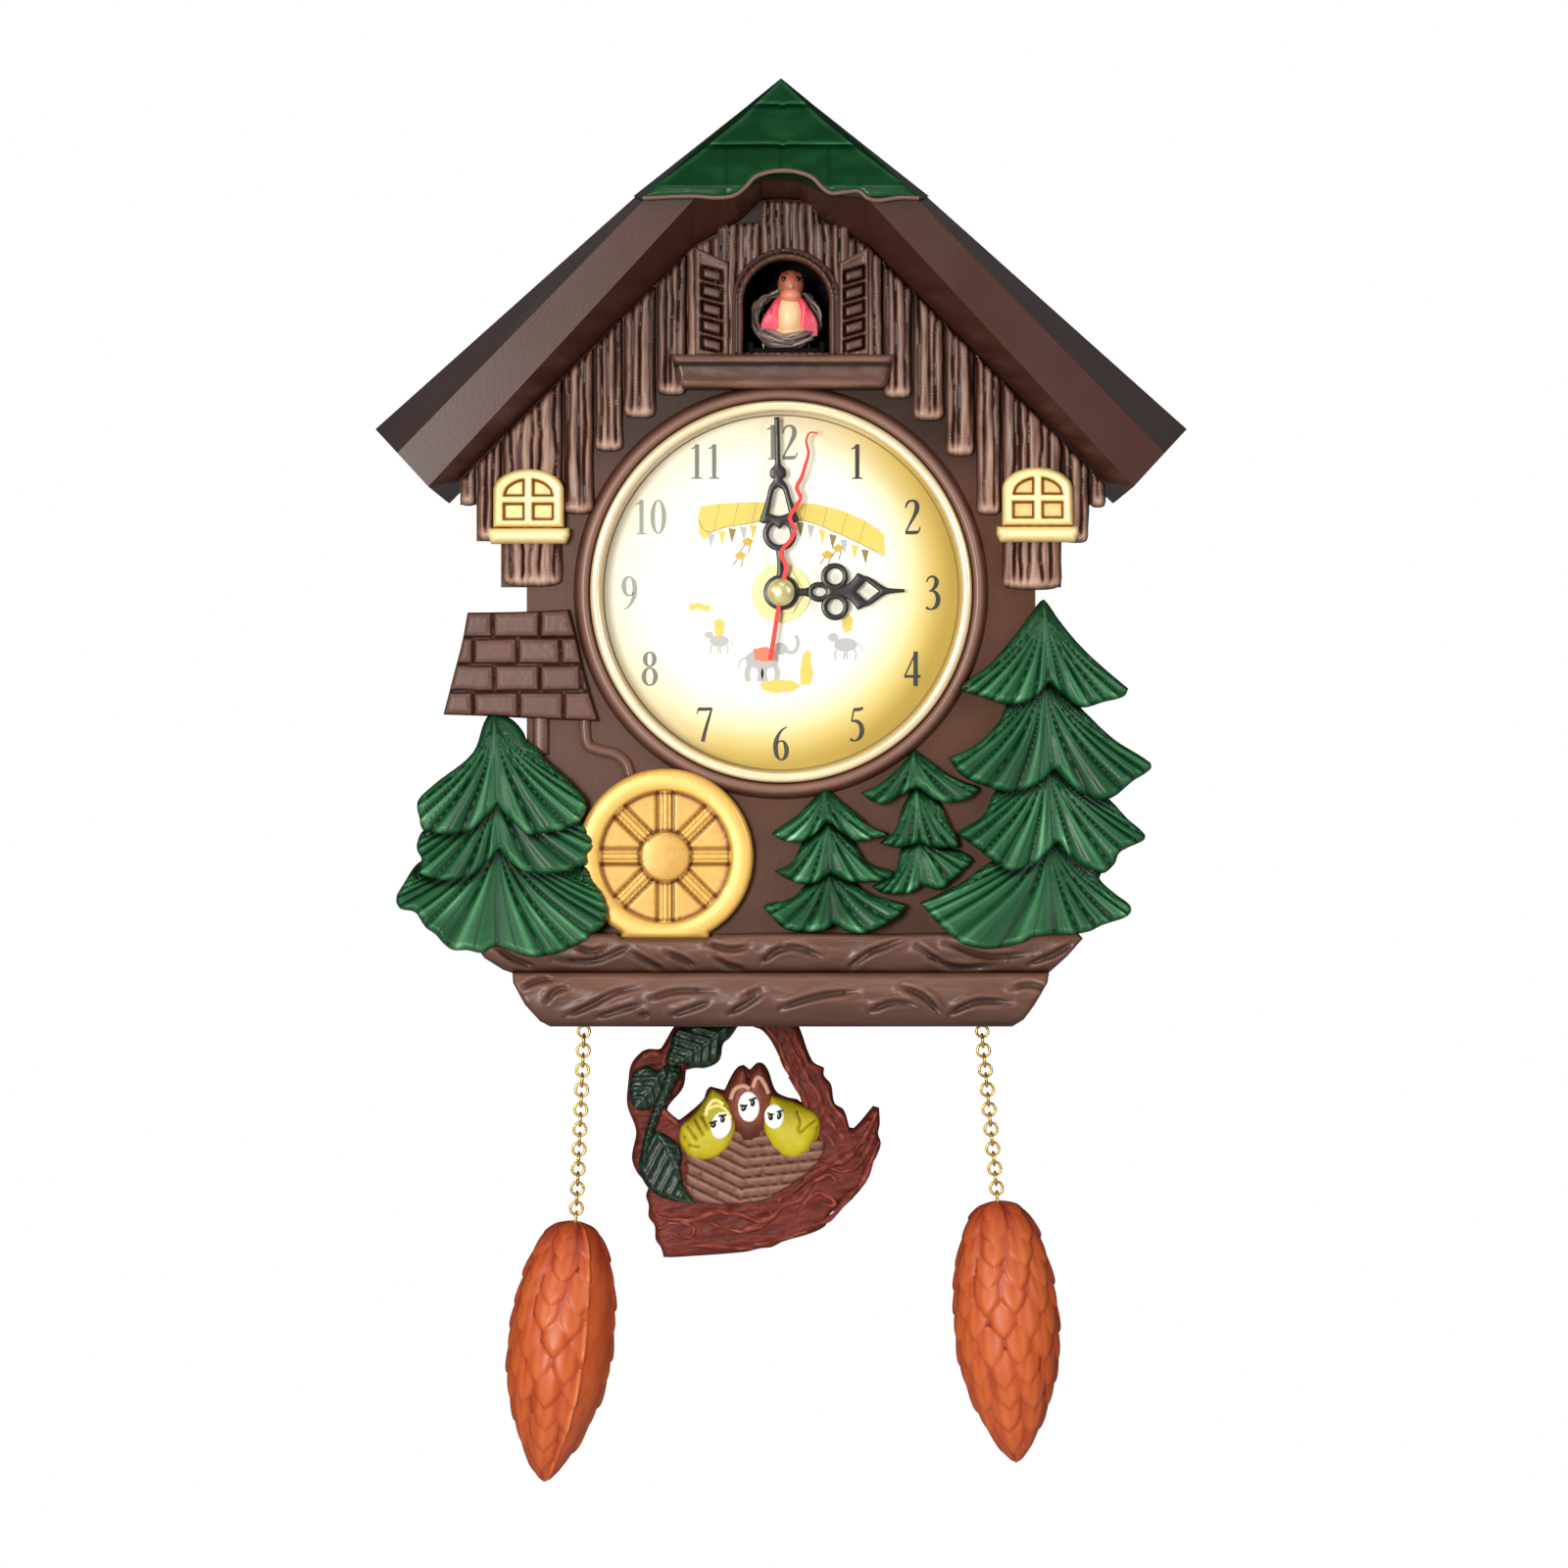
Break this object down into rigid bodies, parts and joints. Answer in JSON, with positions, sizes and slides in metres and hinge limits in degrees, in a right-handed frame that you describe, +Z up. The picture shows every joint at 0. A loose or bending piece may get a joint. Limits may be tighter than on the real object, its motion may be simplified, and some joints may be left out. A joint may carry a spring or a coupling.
{
  "type": "pendulum wall clock",
  "caption": "Chalet-shaped wall clock with a round dial, bird window, swinging basket pendulum and two pine-cone weights on chains.",
  "frame": {"origin": "centre of the hanging hole at the rear face of the back cover", "axes": "+Z up, +Y rearwards into the wall, +X to the right as seen from the front"},
  "size_m": [0.2448, 0.0725, 0.4207],
  "materials": {
    "case_brown": "satin moulded plastic",
    "panel_brown": "satin paint with dark wiped grooves",
    "log_brown": "satin paint with darker carved grain",
    "roof_brown": "smooth satin paint",
    "roof_green": "semi-gloss paint",
    "brick_brown": "satin paint",
    "pine_green": "semi-gloss paint, dark in the grooves",
    "gold_paint": "satin metallic gold paint",
    "gold_pale": "satin pale gold paint",
    "dial_print": "printed card, white centre to yellow rim",
    "bezel_gold": "satin champagne gold",
    "lens": "clear",
    "black_plastic": "fine texture",
    "brass": "bright plated",
    "battery_jacket": "plain printed jacket",
    "board_green": "solder mask",
    "steel": "plain",
    "cover_brown": "fine texture",
    "hand_black": "satin black",
    "hand_red": "satin red",
    "bob_paint": "glossy hand-painted relief",
    "cone_paint": "satin paint, darker between the scales",
    "nest_paint": "satin paint",
    "bird_paint": "glossy paint",
    "switch_white": "plain"
  },
  "bodies": {
    "case": {"case_body": "case_brown", "front_panel": "panel_brown", "log_base": "log_brown", "roof_shell": "roof_brown", "roof_cap": "roof_green", "brick_panel": "brick_brown", "pine_left": "pine_green", "pine_right_large": "pine_green", "pine_small_left": "pine_green", "pine_small_right": "pine_green", "mill_wheel": "gold_paint", "window_left": "gold_pale", "window_right": "gold_pale", "dial_plate": "dial_print", "dial_bezel": "bezel_gold", "dial_lens": "lens", "movement_case": "black_plastic", "movement_nut": "brass", "movement_battery": "battery_jacket", "pendulum_drive": "black_plastic", "chime_battery_box": "black_plastic", "chime_batteries": "battery_jacket", "speaker": "black_plastic", "circuit_board": "board_green", "switch_body": "black_plastic", "bird_rail": "black_plastic", "bird_solenoid": "steel", "back_cover": "cover_brown", "cover_screws": "steel", "chain_eyes": "brass"},
    "minute": {"minute_hand": "hand_black"},
    "hour": {"hour_hand": "hand_black"},
    "second": {"second_hand": "hand_red", "hand_cap": "brass"},
    "knob": {"setting_knob": "black_plastic"},
    "pendulum": {"pendulum_rod": "steel", "pendulum_magnet": "steel", "pendulum_bob": "bob_paint"},
    "chain_l": {"chain_left": "brass"},
    "chain_r": {"chain_right": "brass"},
    "cone_l": {"cone_left_outer": "cone_paint", "cone_left_inner": "cone_paint", "cone_eye_left": "brass"},
    "cone_r": {"cone_right_inner": "cone_paint", "cone_right_outer": "cone_paint", "cone_eye_right": "brass"},
    "bird_unit": {"bird_carriage": "black_plastic", "nest": "nest_paint", "bird": "bird_paint"},
    "door": {"battery_door": "cover_brown"},
    "switch": {"mode_switch": "switch_white"}
  },
  "joints": [
    {"name": "minute_turn", "type": "hinge", "parent": "case", "child": "minute", "pos_m": [0, -0.042, -0.1104], "axis": [0, 1, 0], "continuous": true},
    {"name": "hour_turn", "type": "hinge", "parent": "case", "child": "hour", "pos_m": [0, -0.041, -0.1104], "axis": [0, 1, 0], "continuous": true},
    {"name": "second_turn", "type": "hinge", "parent": "case", "child": "second", "pos_m": [0, -0.0435, -0.1104], "axis": [0, 1, 0], "continuous": true},
    {"name": "knob_turn", "type": "hinge", "parent": "case", "child": "knob", "pos_m": [0.0085, -0.02, -0.1014], "axis": [0, 1, 0], "continuous": true},
    {"name": "pendulum_swing", "type": "hinge", "parent": "case", "child": "pendulum", "pos_m": [0, -0.014, -0.161], "axis": [0, -1, 0], "range_deg": [-4, 12]},
    {"name": "chain_left_swing", "type": "hinge", "parent": "case", "child": "chain_l", "pos_m": [-0.0583, -0.04, -0.2419], "axis": [0, -1, 0], "range_deg": [-10, 12]},
    {"name": "chain_right_swing", "type": "hinge", "parent": "case", "child": "chain_r", "pos_m": [0.0595, -0.04, -0.2419], "axis": [0, -1, 0], "range_deg": [-12, 10]},
    {"name": "cone_left_swing", "type": "hinge", "parent": "chain_l", "child": "cone_l", "pos_m": [-0.06059, -0.04, -0.29441], "axis": [0, -1, 0], "range_deg": [-10, 12]},
    {"name": "cone_right_swing", "type": "hinge", "parent": "chain_r", "child": "cone_r", "pos_m": [0.0639, -0.04, -0.28841], "axis": [0, -1, 0], "range_deg": [-12, 10]},
    {"name": "bird_slide", "type": "slide", "parent": "case", "child": "bird_unit", "axis": [0, -1, 0], "range_m": [0, 0.012]},
    {"name": "battery_door_slide", "type": "slide", "parent": "case", "child": "door", "axis": [0, 0, 1], "range_m": [0, 0.0095]},
    {"name": "mode_switch_slide", "type": "slide", "parent": "case", "child": "switch", "axis": [1, 0, 0], "range_m": [0, 0.004]}
  ],
  "couplings": [
    {"joint": "hour_turn", "follows": "minute_turn", "ratio": 0.083333},
    {"joint": "second_turn", "follows": "minute_turn", "ratio": 60},
    {"joint": "knob_turn", "follows": "minute_turn", "ratio": -0.33333}
  ]
}
